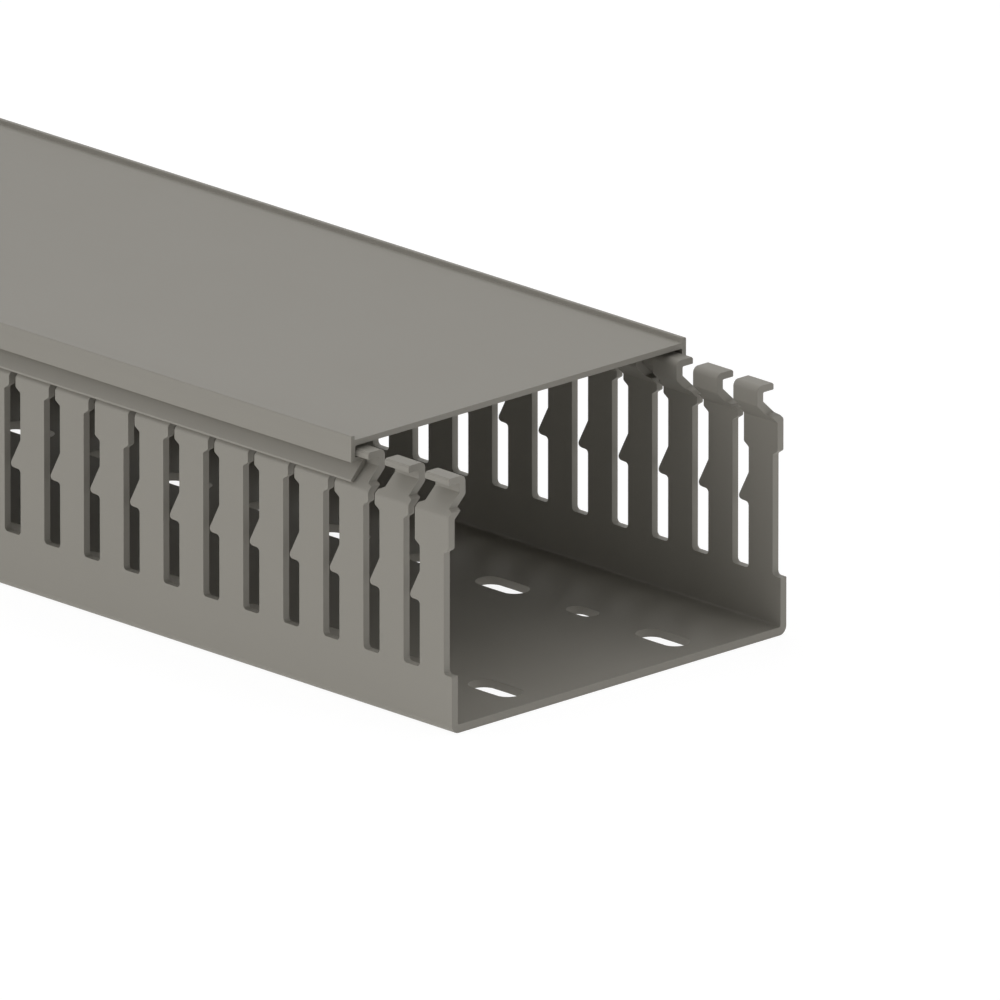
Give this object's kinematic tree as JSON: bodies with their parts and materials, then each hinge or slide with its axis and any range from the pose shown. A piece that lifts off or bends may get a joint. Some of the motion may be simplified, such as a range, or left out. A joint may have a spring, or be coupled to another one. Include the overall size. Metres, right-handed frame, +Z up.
{
  "type": "wiring duct",
  "caption": "Slotted PVC wiring duct with hooked side fingers, a punched floor for screws and a clip-on cover that slides along it.",
  "frame": {"origin": "middle of the duct's underside, halfway between its ends", "axes": "+X along the duct towards the end that the cover is set back from, +Y across it, +Z up out of its open top"},
  "size_m": [0.5312, 0.1, 0.06],
  "materials": {
    "duct_pvc": "matte extruded stone-grey PVC",
    "cover_pvc": "matte extruded stone-grey PVC"
  },
  "bodies": {
    "duct": {"duct_base": "duct_pvc"},
    "lid": {"cover": "cover_pvc"}
  },
  "joints": [
    {"name": "cover_slide", "type": "slide", "parent": "duct", "child": "lid", "axis": [1, 0, 0], "range_m": [-0.46875, 0.53125]}
  ]
}
